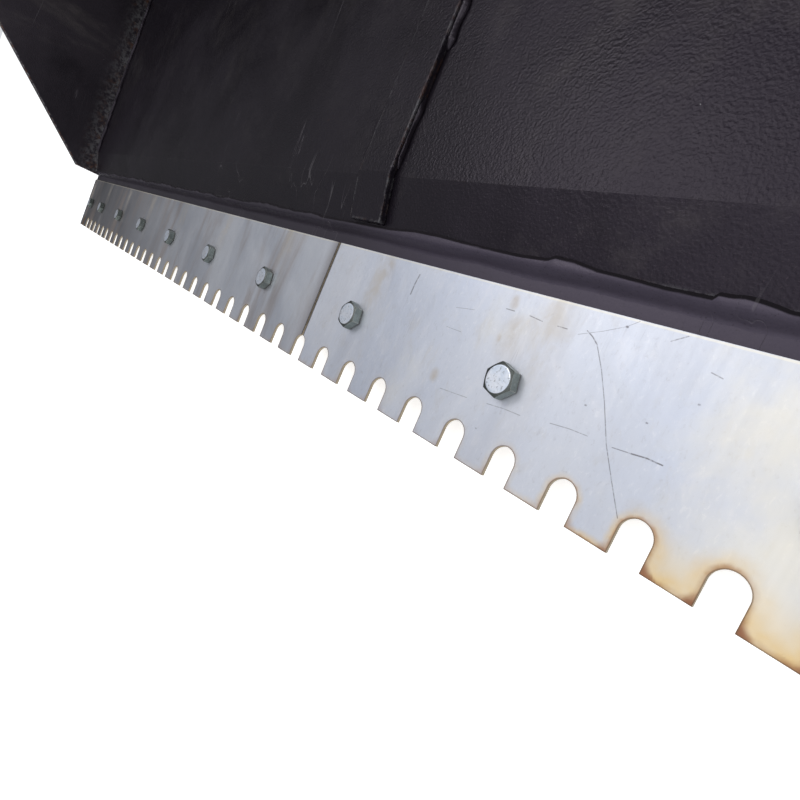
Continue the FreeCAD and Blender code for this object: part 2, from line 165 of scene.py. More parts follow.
# Scratches on the strip: width in millimetres, strength, then the points they run through.
MARKS = (
    (0.45, 0.9, (242, -305), (246, -307), (250, -310)),
    (0.35, 0.8, (250, -310), (258, -321), (266, -334), (276, -352), (285, -365), (295, -379)),
    (0.25, 0.6, (238, -308), (250, -303), (260, -298), (265, -294)),
    (0.4, 0.8, (189, -306), (195, -306)),
    (0.4, 0.8, (206, -306), (215, -307)),
    (0.4, 0.8, (225, -307), (231, -307)),
    (0.3, 0.7, (204, -359), (216, -357.5), (227, -357)),
    (0.3, 0.7, (245, -354), (256, -352.5), (266, -352)),
    (0.35, 0.8, (279, -352), (288, -351)),
    (0.5, 1.0, (288, -351), (295, -350), (302, -350)),
    (0.4, 0.7, (282, -299), (288, -295)),
    (0.4, 0.7, (303, -307), (308, -308)),
    (0.3, 0.5, (152, -314), (167, -312)),
    (0.3, 0.5, (151, -327), (164, -327)),
    (0.3, 0.6, (167, -363), (189, -361)),
    (0.9, 0.8, (108, -301), (107, -308), (107, -315)),
    (0.75, 1.0, (260, -298), (260.6, -298)),
    (0.6, 0.8, (258, -339), (258.5, -339)),
    (0.6, 0.8, (288, -336), (288.6, -336)),
    (0.6, 0.8, (304, -321), (304.5, -321)),
    (0.6, 0.7, (204, -374), (204.5, -374)),
)


# Soft stains on the strip: width in millimetres, strength, then the two ends.
SMUDGES = (
    (13.0, 0.75, (202.0, -318.0), (202.3, -325.8)),
    (6.0, 0.5, (208.5, -310.0), (208.8, -313.6)),
    (4.0, 0.8, (192.6, -300.0), (192.9, -302.4)),
    (3.0, 0.7, (193.0, -322.0), (193.3, -323.8)),
    (4.5, 0.8, (158.0, -356.0), (158.3, -358.7)),
    (7.0, 0.6, (74.7, -302.0), (75.0, -306.2)),
    (6.0, 0.4, (300.0, -372.0), (300.3, -375.6)),
)


def segment_group():
    """Node group: Strength on the line from A to B, falling to 0 at Width away from it."""
    group = bpy.data.node_groups.new("scratch_segment", "ShaderNodeTree")
    for name in ("Point", "A", "B"):
        group.interface.new_socket(name, in_out="INPUT", socket_type="NodeSocketVector")
    for name in ("Width", "Strength"):
        group.interface.new_socket(name, in_out="INPUT", socket_type="NodeSocketFloat")
    group.interface.new_socket("Mask", in_out="OUTPUT", socket_type="NodeSocketFloat")
    nodes, links = group.nodes, group.links
    start, end = nodes.new("NodeGroupInput"), nodes.new("NodeGroupOutput")

    def vector(operation, first, second, scale=None):
        node = nodes.new("ShaderNodeVectorMath")
        node.operation = operation
        links.new(first, node.inputs[0])
        if second is not None:
            links.new(second, node.inputs[1])
        if scale is not None:
            links.new(scale, node.inputs["Scale"])
        return node.outputs["Value"] if operation in ("DOT_PRODUCT", "LENGTH") else node.outputs[0]

    along = vector("SUBTRACT", start.outputs["B"], start.outputs["A"])
    reach = vector("SUBTRACT", start.outputs["Point"], start.outputs["A"])
    share = nodes.new("ShaderNodeMath")
    share.operation = "DIVIDE"
    share.use_clamp = True
    links.new(vector("DOT_PRODUCT", reach, along), share.inputs[0])
    links.new(vector("DOT_PRODUCT", along, along), share.inputs[1])
    nearest = vector("SCALE", along, None, share.outputs[0])
    distance = vector("LENGTH", vector("SUBTRACT", reach, nearest), None)
    fall = nodes.new("ShaderNodeMapRange")
    fall.inputs["From Min"].default_value = 0.0
    links.new(distance, fall.inputs["Value"])
    links.new(start.outputs["Width"], fall.inputs["From Max"])
    links.new(start.outputs["Strength"], fall.inputs["To Min"])
    fall.inputs["To Max"].default_value = 0.0
    links.new(fall.outputs["Result"], end.inputs["Mask"])
    return group


def draw_lines(look, group, flat, rows):
    """The strongest of the lines in rows, each of them a width, a strength and its points."""
    drawn = None
    for width, strength, *points in rows:
        for first, second in zip(points, points[1:]):
            node = look.add("ShaderNodeGroup", node_tree=group)
            look.feed(node.inputs["Point"], flat)
            node.inputs["A"].default_value = (*first, 0.0)
            node.inputs["B"].default_value = (*second, 0.0)
            node.inputs["Width"].default_value = width
            node.inputs["Strength"].default_value = strength
            drawn = node.outputs[0] if drawn is None else look.math("MAXIMUM", drawn, node.outputs[0])
    return drawn


def bare_steel():
    """The strips: mill finish, stains, scratches, and heat tint at the teeth, with painted shade and a painted
    highlight.
    """
    look = Look("bare_steel")
    scaled = look.add("ShaderNodeVectorMath", {0: look.place, 1: (1000.0, 1000.0, 0.0)}, operation="MULTIPLY")
    flat = scaled.outputs[0]
    along, across, _ = look.parts(flat)
    depth = look.math("SUBTRACT", across, TIPS_Y)

    # Distance from the cut edges, in millimetres.
    side = look.math("PINGPONG", look.math("ABSOLUTE", along), PITCH / 2)
    deeper = look.math("MAXIMUM", look.math("SUBTRACT", depth, NOTCH_ROOT), 0.0)
    squares = look.math("ADD", look.math("MULTIPLY", side, side), look.math("MULTIPLY", deeper, deeper))
    from_notch = look.math("SUBTRACT", look.math("SQRT", squares), NOTCH_RADIUS)
    from_teeth = look.math("MINIMUM", from_notch, depth)
    from_rear = look.math("SUBTRACT", STRIP_DEPTH, depth)
    wobble = look.noise(160.0, 3.0, 0.6)
    edge = look.math("ADD", from_teeth, look.math("MULTIPLY", look.math("SUBTRACT", wobble, 0.5), 3.0))

    # Faint mill streaks run front to back; blotches are larger and softer; grain is the finest.
    streak = look.noise(46.0, 5.0, 0.62, (1.0, 0.09, 1.0), 1.7, 0.4)
    fine_streak = look.noise(420.0, 3.0, 0.6, (1.0, 0.035, 1.0), 4.1)
    blotch = look.noise(9.0, 5.0, 0.6, (1.0, 0.75, 1.0), 7.7, 0.5)
    mottle = look.noise(75.0, 5.0, 0.65, (1.0, 0.6, 1.0), 2.9, 0.6)
    grain = look.noise(520.0, 4.0, 0.7, (1.0, 0.5, 1.0), 15.2, 0.5)

    cool, silver, pale = (0.60, 0.635, 0.735, 1.0), (0.66, 0.68, 0.745, 1.0), (0.84, 0.85, 0.89, 1.0)
    color = look.mix(look.step(blotch, 0.36, 0.66), cool, silver)
    color = look.mix(look.step(streak, 0.50, 0.74, 0.0, 0.05), color, pale)
    color = look.mix(look.step(streak, 0.50, 0.30, 0.0, 0.07), color, (0.47, 0.50, 0.60, 1.0))
    color = look.mix(look.step(mottle, 0.54, 0.74, 0.0, 0.36), color, (0.56, 0.54, 0.53, 1.0))
    color = look.mix(look.step(mottle, 0.46, 0.28, 0.0, 0.30), color, (0.78, 0.77, 0.80, 1.0))
    color = look.mix(look.step(grain, 0.55, 0.75, 0.0, 0.42), color, (0.46, 0.46, 0.50, 1.0))
    color = look.mix(look.step(grain, 0.45, 0.28, 0.0, 0.34), color, (0.84, 0.84, 0.88, 1.0))

    # The sheet on the left is a greyer one, with brown stains. Its darkening towards the far end is painted
    # shade, standing in for the darker surroundings it mirrors there.
    color = look.mix(look.step(along, 0.5, -0.5, 0.0, 0.45), color, (0.44, 0.45, 0.48, 1.0))
    color = look.mix(look.step(along, -60.0, -800.0, 0.0, 0.72), color, (0.17, 0.165, 0.18, 1.0))
    color = look.mix(look.step(along, -380.0, -960.0, 0.0, 0.60), color, (0.075, 0.072, 0.078, 1.0))
    color = look.mix(look.step(along, 225.0, 300.0, 0.0, 0.16), color, (0.30, 0.31, 0.33, 1.0))
    stain = look.noise(30.0, 5.0, 0.62, (1.0, 0.22, 1.0), 23.0, 0.5)
    left = look.step(along, 20.0, -40.0, 0.10, 1.0)
    stain = look.math("MULTIPLY", look.step(stain, 0.47, 0.70, 0.0, 0.55), left)
    color = look.mix(stain, color, (0.33, 0.27, 0.24, 1.0))

    # Yellow film, strongest on the right and in patches elsewhere.
    film = look.noise(12.0, 5.0, 0.62, (1.0, 0.8, 1.0), 11.3, 0.2)
    right = look.step(along, 215.0, 350.0)
    film = look.math("ADD", film, look.math("MULTIPLY", right, 0.24))
    film = look.math("SUBTRACT", film, look.step(along, 215.0, -200.0, 0.05, 0.20))
    color = look.mix(look.step(film, 0.50, 0.82, 0.0, 0.62), color, (0.80, 0.74, 0.60, 1.0))

    # A tan run beside every bolt, and below each bolt a darker patch that is painted shadow of its head.
    shifted = look.math("ADD", along, 95.25 - BOLT_SPACING / 2)
    beside = look.math("SUBTRACT", look.math("FLOORED_MODULO", shifted, BOLT_SPACING), BOLT_SPACING / 2)
    run = look.step(look.math("ABSOLUTE", look.math("SUBTRACT", beside, 12.0)), 16.0, 0.0)
    run = look.math("MULTIPLY", run, look.step(depth, 38.0, 84.0, 0.25, 1.0))
    run = look.math("MULTIPLY", run, look.step(mottle, 0.30, 0.66))
    color = look.mix(look.math("MULTIPLY", run, 0.55), color, (0.57, 0.52, 0.46, 1.0))
    # Painted shadow just below each bolt head.
    bolt_shadow = look.step(look.math("ABSOLUTE", look.math("SUBTRACT", beside, 2.0)), 10.0, 0.0)
    bolt_shadow = look.math("MULTIPLY", bolt_shadow, look.step(depth, 46.0, 30.0))
    color = look.mix(look.math("MULTIPLY", bolt_shadow, 0.18), color, (0.42, 0.44, 0.52, 1.0))

    group = segment_group()
    smudges = draw_lines(look, group, flat, SMUDGES)
    smudges = look.math("MULTIPLY", smudges, look.step(mottle, 0.34, 0.60, 0.25, 1.0))
    color = look.mix(smudges, color, (0.52, 0.45, 0.37, 1.0))

    # Heat tint and rust at the cut teeth, strongest towards the near end.
    heat = look.step(along, 190.0, 330.0, 0.14, 1.0)
    patch = look.step(look.noise(60.0, 3.0, 0.6, shift=5.5), 0.30, 0.66, 0.25, 1.0)
    heat = look.math("MULTIPLY", heat, patch, clamp=True)
    gold = look.math("MULTIPLY", look.step(depth, 24.0, 2.0), look.step(along, 285.0, 325.0))
    color = look.mix(look.math("MULTIPLY", gold, 0.66), color, (0.75, 0.60, 0.37, 1.0))
    reach = look.step(along, 285.0, 325.0, 4.5, 10.0)
    near_tips = look.math("MULTIPLY", heat, look.step(depth, 27.0, 6.0, 0.55, 1.0))
    straw = look.math("MULTIPLY", look.step(edge, reach, 0.4), near_tips)
    color = look.mix(look.math("MULTIPLY", straw, 0.88), color, (0.74, 0.53, 0.24, 1.0))
    reach = look.step(along, 285.0, 325.0, 1.4, 3.0)
    brown = look.math("MULTIPLY", look.step(edge, reach, 0.2), heat)
    color = look.mix(look.math("MULTIPLY", brown, 0.80), color, (0.38, 0.18, 0.07, 1.0))
    corner = look.step(look.math("ADD", depth, from_notch), 8.5, 2.0)
    patchy = look.step(mottle, 0.34, 0.56, 0.3, 1.0)
    burnt = look.math("MULTIPLY", look.step(along, 255.0, 325.0, 0.15, 0.9), patchy)
    burnt = look.math("MULTIPLY", burnt, corner)
    rust = look.math("MULTIPLY", look.step(mottle, 0.50, 0.62), look.step(depth, 4.5, 0.5))
    rust = look.math("MAXIMUM", look.math("MULTIPLY", rust, heat), burnt)
    color = look.mix(burnt, color, (0.34, 0.15, 0.08, 1.0))
    color = look.mix(look.math("MULTIPLY", rust, 0.85), color, (0.26, 0.10, 0.045, 1.0))
    outline = look.step(from_teeth, 0.8, 0.2)
    color = look.mix(look.math("MULTIPLY", outline, 0.70), color, (0.14, 0.09, 0.05, 1.0))

    # Painted highlight: a thin pale line along the rear edge, where its rounding would catch the light.
    rear_edge_highlight = look.math("MULTIPLY", look.step(from_rear, 1.5, 0.9), look.step(from_rear, 0.1, 0.4))
    color = look.mix(look.math("MULTIPLY", rear_edge_highlight, 0.35), color, (0.90, 0.82, 0.62, 1.0))

    # At the joint between the two strips: a soft band on the left darkened as painted shade, and a dark line
    # along the gap between them.
    joint = look.math("ABSOLUTE", along)
    grime_and_shade = look.math("MULTIPLY", look.step(joint, 19.0, 0.0), look.step(along, 2.0, -2.0, 0.0, 1.0))
    color = look.mix(look.math("MULTIPLY", grime_and_shade, 0.62), color, (0.20, 0.18, 0.18, 1.0))
    crack = look.step(joint, 3.0, 1.2)
    color = look.mix(look.math("MULTIPLY", crack, 0.85), color, (0.045, 0.035, 0.035, 1.0))
    grime_and_shade = look.math("MAXIMUM", grime_and_shade, crack)

    # Listed scratches, then random fine ones.
    marks = draw_lines(look, group, flat, MARKS)
    fine = look.scratches(60.0, -1.50, 5.0, 0.010)
    color = look.mix(look.math("MULTIPLY", fine, 0.40), color, (0.30, 0.29, 0.30, 1.0))
    broken = look.step(look.noise(700.0, 2.0, 0.5, shift=31.0), 0.34, 0.52, 0.45, 0.95)
    color = look.mix(look.math("MULTIPLY", marks, broken), color, (0.085, 0.075, 0.08, 1.0))

    # The cut walls of the teeth are oxidised brown.
    wall = look.step(look.facing[2], 0.6, 0.4)
    cut = look.noise(500.0, 3.0, 0.6, (1.0, 1.0, 0.1), 3.3)
    walls = look.mix(cut, (0.28, 0.23, 0.16, 1.0), (0.46, 0.39, 0.29, 1.0))
    color = look.mix(wall, color, walls)

    rough = look.step(blotch, 0.3, 0.7, 0.40, 0.52)
    rough = look.math("ADD", rough, look.step(fine_streak, 0.3, 0.7, -0.02, 0.03))
    rough = look.value(look.math("MULTIPLY", straw, 0.6), rough, 0.6)
    rough = look.value(look.math("MAXIMUM", wall, grime_and_shade), rough, 0.75)
    metal = look.value(look.math("MULTIPLY", look.math("MAXIMUM", brown, rust), 0.8), 0.88, 0.25)
    metal = look.value(wall, metal, 0.3)
    bump = look.height(fine_streak, 0.00003, 0.3)
    bump = look.height(mottle, 0.0003, 0.35, bump)
    return look.finish(color, rough, metal, bump)


# ---- paints -----------------------------------------------------------------------------------

def paint(name, dark, light, rough, peel, shine, wear=0.0, dust=0.0, scuff=0.0, grime_and_shade=0.0, far_shade=0.0, toe=False):
    """Worn black paint.

    Peel is the depth of the orange peel, wear the steel showing at edges and in chips, dust what lies on
    upward faces, scuff the steel showing near the ground, and grime_and_shade the dirt that has run down.
    The far_shade is how much the colour darkens towards -X, painted shade standing in for the darker
    surroundings that side mirrors. Toe draws the dark line stored on the mesh as "toe", a painted shadow
    along the bead's toe.
    """
    look = Look(name)
    along, across, height = look.parts(look.place)
    blotch = look.noise(5.0, 5.0, 0.6, shift=2.0, warp=0.4)
    speckle = look.noise(900.0, 3.0, 0.7, shift=6.0)
    coarse = look.noise(640.0, 2.0, 0.5, shift=1.0)
    grit = look.cells(420.0, 4.0)
    color = look.mix(look.step(blotch, 0.35, 0.68), dark, light)
    color = look.mix(look.step(speckle, 0.58, 0.74, 0.0, 0.30), color, (0.085, 0.062, 0.075, 1.0))
    color = look.mix(look.step(speckle, 0.42, 0.28, 0.0, 0.6), color, (0.004, 0.003, 0.004, 1.0))

    settled = look.noise(22.0, 6.0, 0.68, shift=8.0)
    settled = look.math("MULTIPLY", look.step(look.facing[2], 0.4, 0.95), settled)
    settled = look.step(settled, 0.50, 0.78, 0.0, dust)
    color = look.mix(settled, color, (0.30, 0.27, 0.25, 1.0))

    # Dirt that has run down and dried, with none on the front of the floor.
    runs = look.step(look.noise(9.0, 7.0, 0.72, (1.0, 1.0, 0.30), 17.0, 0.6), 0.47, 0.75, 0.0, grime_and_shade)
    runs = look.math("MULTIPLY", runs, look.step(across, -0.20, -0.04))
    color = look.mix(runs, color, (0.10, 0.090, 0.084, 1.0))
    # Painted shade: the colour darkens towards -X, standing in for the darker surroundings that side mirrors.
    if far_shade:
        far = look.step(along, 0.13, -0.02, 0.0, far_shade)
        color = look.mix(far, color, (0.005, 0.004, 0.006, 1.0))
    # Painted shadow: a near-black line where the bead's toe meets the floor, with its shine taken off as well.
    if toe:
        line = look.add("ShaderNodeAttribute", attribute_name="toe").outputs["Fac"]
        line = look.step(line, 0.0, 0.40)
        color = look.mix(line, color, (0.002, 0.0015, 0.002, 1.0))

    lines = look.scratches(16.0, 0.25, 2.0, 0.004)
    lines = look.math("MAXIMUM", lines, look.scratches(24.0, -0.9, 9.0, 0.004))
    lines = look.math("MAXIMUM", lines, look.scratches(11.0, 1.35, 14.0, 0.003))
    color = look.mix(look.math("MULTIPLY", lines, 0.30), color, (0.16, 0.15, 0.16, 1.0))

    chip_shape = look.noise(140.0, 5.0, 0.7, shift=12.0)
    edges = look.math("MULTIPLY", look.worn_edges(0.0035), look.step(chip_shape, 0.42, 0.56))
    chips = look.math("ADD", chip_shape, look.math("MULTIPLY", blotch, 0.25))
    chips = look.step(chips, 0.885 - wear * 0.04, 0.90)
    ground = look.step(height, 0.075, 0.0)
    ground = look.math("MULTIPLY", ground, look.step(chip_shape, 0.40, 0.60))
    ground = look.math("MULTIPLY", ground, scuff)
    bare = look.math("MAXIMUM", look.math("MULTIPLY", edges, wear), chips)
    bare = look.math("MAXIMUM", bare, ground)
    rusty = look.step(look.noise(70.0, 4.0, 0.7, shift=21.0), 0.46, 0.62)
    metal_color = look.mix(rusty, (0.42, 0.42, 0.43, 1.0), (0.22, 0.10, 0.045, 1.0))
    color = look.mix(bare, color, metal_color)

    rough_all = look.math("ADD", rough, look.step(blotch, 0.3, 0.7, -0.05, 0.08))
    rough_all = look.value(settled, rough_all, 0.85)
    rough_all = look.value(bare, rough_all, 0.5)
    if toe:
        rough_all = look.value(line, rough_all, 1.0)
    metal = look.math("MULTIPLY", bare, look.math("SUBTRACT", 0.85, look.math("MULTIPLY", rusty, 0.7)))
    bump = look.height(coarse, 0.0007 * peel, 0.55)
    bump = look.height(grit, 0.0004 * peel, 0.35, bump)
    sunk = look.math("SUBTRACT", 0.0, look.math("MAXIMUM", lines, bare))
    bump = look.height(sunk, 0.0002, 0.8, bump)
    return look.finish(color, rough_all, metal, bump, shine, (0.95, 0.84, 1.0, 1.0))


def zinc(name, side, top, crown_height):
    """Dull plated steel with a bright worn crown."""
    look = Look(name)
    height = look.parts(look.place)[2]
    blotch = look.noise(120.0, 4.0, 0.6, shift=3.0)
    fine = look.noise(900.0, 3.0, 0.6, shift=6.0)
    shade = tuple(0.72 * tone for tone in side[:3]) + (1.0,)
    color = look.mix(look.step(blotch, 0.35, 0.65), side, shade)
    up = look.step(look.facing[2], 0.90, 0.985)
    crown = look.math("MULTIPLY", up, look.step(height, crown_height - 0.0008, crown_height - 0.0002))
    crown_color = look.mix(look.step(blotch, 0.3, 0.7), top, (0.62, 0.68, 0.78, 1.0))
    color = look.mix(crown, color, crown_color)
    nicks = look.step(look.noise(640.0, 3.0, 0.6, shift=9.0), 0.56, 0.66)
    color = look.mix(look.math("MULTIPLY", nicks, 0.55), color, (0.16, 0.17, 0.18, 1.0))
    slope = look.math("MULTIPLY", look.step(look.facing[2], 0.3, 0.5), look.step(look.facing[2], 0.985, 0.97))
    color = look.mix(look.math("MULTIPLY", slope, 0.9), color, (0.07, 0.075, 0.07, 1.0))
    # Painted contact shade: the foot of the head's sides, where it sits on the strip, is darkened.
    head_foot_shade = look.step(height, crown_height - 0.0060, crown_height - 0.0072)
    color = look.mix(look.math("MULTIPLY", head_foot_shade, 0.8), color, (0.04, 0.04, 0.035, 1.0))
    edges = look.math("MULTIPLY", look.worn_edges(0.0006), look.step(look.facing[2], 0.3, 0.1))
    color = look.mix(look.math("MULTIPLY", edges, 0.5), color, (0.66, 0.62, 0.52, 1.0))
    stain = look.math("MULTIPLY", look.step(fine, 0.55, 0.7), look.step(look.facing[2], 0.5, 0.1))
    color = look.mix(look.math("MULTIPLY", stain, 0.5), color, (0.13, 0.12, 0.09, 1.0))
    rough = look.math("ADD", 0.36, look.step(blotch, 0.3, 0.7, -0.06, 0.10))
    bump = look.height(nicks, 0.00025, -0.8)
    bump = look.height(fine, 0.00016, 0.7, bump)
    return look.finish(color, rough, 0.85, bump)


LOOKS = {
    "bare_steel": bare_steel(),
    "lip_paint": paint(
        "lip_paint", (0.030, 0.025, 0.038, 1.0), (0.039, 0.033, 0.050, 1.0),
        rough=0.42, peel=0.12, shine=0.45, wear=0.4, dust=0.03, far_shade=0.65),
    "bucket_paint": paint(
        "bucket_paint", (0.0065, 0.0050, 0.0078, 1.0), (0.016, 0.0128, 0.019, 1.0),
        rough=0.34, peel=0.75, shine=0.24, wear=0.22, dust=0.08, grime_and_shade=0.45, far_shade=0.7),
    "wear_paint": paint(
        "wear_paint", (0.020, 0.018, 0.019, 1.0), (0.042, 0.038, 0.040, 1.0),
        rough=0.42, peel=0.6, shine=0.4, wear=1.0, dust=0.25, scuff=0.9, grime_and_shade=0.5),
    "hitch_paint": paint(
        "hitch_paint", (0.018, 0.016, 0.018, 1.0), (0.036, 0.032, 0.036, 1.0),
        rough=0.38, peel=0.7, shine=0.4, wear=0.9, dust=0.35, grime_and_shade=0.6),
    "bolt_zinc": zinc("bolt_zinc", (0.27, 0.31, 0.29, 1.0), (0.84, 0.86, 0.93, 1.0), 0.0255),
}

# Looks that vary a slot's finish: plates rubbed by the load, the smooth bead at the lip, and other welds.
RUBBED_LOOK = paint(
    "rubbed_paint", (0.007, 0.006, 0.008, 1.0), (0.020, 0.017, 0.021, 1.0),
    rough=0.36, peel=0.75, shine=0.35, wear=0.9, dust=0.25, scuff=0.5, grime_and_shade=0.5)
# Painted light: the bead is the lip's black paint made lighter, to offset the shade on its forward-tilted
# slope.
TOE_LOOK = paint(
    "weld_toe_paint", (0.044, 0.037, 0.054, 1.0), (0.055, 0.047, 0.068, 1.0),
    rough=0.42, peel=0.3, shine=0.45, far_shade=0.65, toe=True)
WELD_LOOK = paint(
    "painted_weld", (0.010, 0.008, 0.011, 1.0), (0.024, 0.020, 0.026, 1.0),
    rough=0.36, peel=0.5, shine=0.3)

for part in frame["record"]["subparts"]:
    mesh = frame["nodes"][part["node"]].data
    mesh.materials.clear()
    mesh.materials.append(LOOKS[part["material_slot"]])
for node in ("side_plate_left", "side_plate_right", "top_channel"):
    frame["nodes"][node].data.materials.clear()
    frame["nodes"][node].data.materials.append(RUBBED_LOOK)


def round_edges(node, width):
    """Breaks the sharp edges of a plate, as grinding and paint do. The weld step only joins split corners."""
    piece = frame["nodes"][node]
    merge = piece.modifiers.new("join_corners", "WELD")
    merge.merge_threshold = 0.00001
    bevel = piece.modifiers.new("broken_edges", "BEVEL")
    bevel.width = width
    bevel.segments = 2
    bevel.limit_method = "ANGLE"
    bevel.angle_limit = math.radians(40.0)
    bevel.harden_normals = False


for node in frame["nodes"]:
    if node.startswith(("lip", "side_plate", "wear_bar", "hitch", "heel_shoe", "side_edge", "centre")):
        round_edges(node, 0.0012)
for node in ("floor_and_back", "top_channel", "heel_wear_plate"):
    round_edges(node, 0.0008)


# ---- pieces that only the visual model has ------------------------------------------------------

def add_piece(name, shape, look, sharp_angle=None):
    """Turns a bmesh into a smooth piece of the bucket."""
    bmesh.ops.recalc_face_normals(shape, faces=shape.faces)
    mesh = bpy.data.meshes.new(name)
    shape.to_mesh(mesh)
    shape.free()
    mesh.polygons.foreach_set("use_smooth", [True] * len(mesh.polygons))
    if sharp_angle is not None:
        mesh.set_sharp_from_angle(angle=math.radians(sharp_angle))
    mesh.materials.append(look)
    piece = bpy.data.objects.new(name, mesh)
    bpy.context.scene.collection.objects.link(piece)
    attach(piece, "root")
    return piece


def close_tube(shape, rings):
    """Faces between the rings, and a cap on each end."""
    for one, two in zip(rings, rings[1:]):
        for number in range(len(one)):
            after = (number + 1) % len(one)
            shape.faces.new((one[number], one[after], two[after], two[number]))
    shape.faces.new(rings[0])
    shape.faces.new(list(reversed(rings[-1])))


def weld(name, runs, first_leg, second_leg, seed):
    """Fillet weld beads. Each run is (start, end, one face's direction, the other face's direction)."""
    dice = random.Random(seed)
    shape = bmesh.new()
    for start, end, first_face, second_face in runs:
        start, end = Vector(start), Vector(end)
        first_face, second_face = Vector(first_face), Vector(second_face)
        length = (end - start).length
        steps = max(8, int(length / 0.0016))
        shift = dice.uniform(0.0, 50.0)
        rings = []
        for number in range(steps + 1):
            travel = number / steps * length
            middle = start.lerp(end, number / steps)
            wave = noise.noise(Vector((travel * 55.0 + shift, 0.3, seed)))
            slow = noise.noise(Vector((travel * 9.0, shift, seed)))
            ripple = 0.10 * abs(math.sin(travel * math.pi / 0.0042 + 2.0 * slow))
            ends = min(1.0, 0.35 + min(number, steps - number) / 6.0)
            size = (1.0 + 0.16 * wave + 0.10 * slow + ripple) * ends
            spread = max(0.25, 1.0 + 0.9 * wave + 1.3 * slow)
            ring = []
            for corner in range(7):
                turn = corner / 6.0 * math.pi / 2.0
                bulge = size * (0.92 + 0.16 * math.sin(2.0 * turn))
                out = first_face * (math.cos(turn) * bulge * first_leg * spread)
                up = second_face * (math.sin(turn) * bulge * second_leg)
                ring.append(shape.verts.new(middle + out + up))
            ring.append(shape.verts.new(middle - (first_face + second_face) * 0.0003))
            rings.append(ring)
        close_tube(shape, rings)
    add_piece(name, shape, WELD_LOOK)


# How far the bead's toe runs behind the floor's front edge, in millimetres, at places along X.
TOE = ((-37, 1.8), (62, 2.3), (92, 4.2), (118, 4.1), (153, 2.4), (185, 2.0), (205, 2.8),
       (210, 4.8), (223, 4.2), (236, 2.2), (252, 1.7), (271, 0.6), (294, 0.6))


def toe_behind(place):
    """Distance of the toe behind the floor's front edge at X = place, all in millimetres."""
    for (first, start), (second, end) in zip(TOE, TOE[1:]):
        if first <= place < second:
            return start + (end - start) * (place - first) / (second - first)
    broad = noise.noise(Vector((place * 0.031, 4.7, 0.0)))
    short = noise.noise(Vector((place * 0.12, 1.1, 0.0)))
    return 2.2 + 2.6 * broad + short


def floor_weld(half, front, floor_edge, slope):
    """The broad smooth bead that runs from the lip over the floor's front edge, with a painted shadow line
    along its wavy toe.
    """
    run_out = 0.0080
    shape = bmesh.new()
    toe = shape.verts.layers.float.new("toe")
    steps = int(2.0 * half / 0.002)
    turns = 12
    rings = []
    for number in range(steps + 1):
        place = -half + 2.0 * half * number / steps
        behind = max(0.4, toe_behind(place * 1000.0)) / 1000.0
        ripple = noise.noise(Vector((place * 160.0, 2.2, 0.0)))
        swell = noise.noise(Vector((place * 23.0, 8.2, 0.0)))
        reach = behind + run_out + 0.0004 * ripple + 0.0014 * swell
        rise = floor_edge - LIP_TOP + slope * behind + 0.0006 + 0.00015 * ripple
        # How dark the painted shadow line along the toe is.
        line = 0.95 + 0.55 * swell + 0.35 * ripple
        ring = []
        for corner in range(turns):
            share = corner / (turns - 1)
            out = reach * (1.0 - share)
            climb = min(1.0, (reach - out) / (reach - behind - 0.0004))
            up = rise * climb * climb * (3.0 - 2.0 * climb)
            ring.append(shape.verts.new((place, front + behind - out, LIP_TOP + up)))
            ring[-1][toe] = line * (1.0 - out / 0.0022)
        ring.append(shape.verts.new((place, front + behind + 0.0002, LIP_TOP + rise - 0.0012)))
        ring[-1][toe] = line
        ring.append(shape.verts.new((place, front + behind, LIP_TOP - 0.0003)))
        rings.append(ring)
    close_tube(shape, rings)
    add_piece("weld_floor_front", shape, TOE_LOOK, 70.0)


FORWARD, BACKWARD, UPWARD, DOWN = (0, -1, 0), (0, 1, 0), (0, 0, 1), (0, 0, -1)
RIGHT, LEFT = (1, 0, 0), (-1, 0, 0)


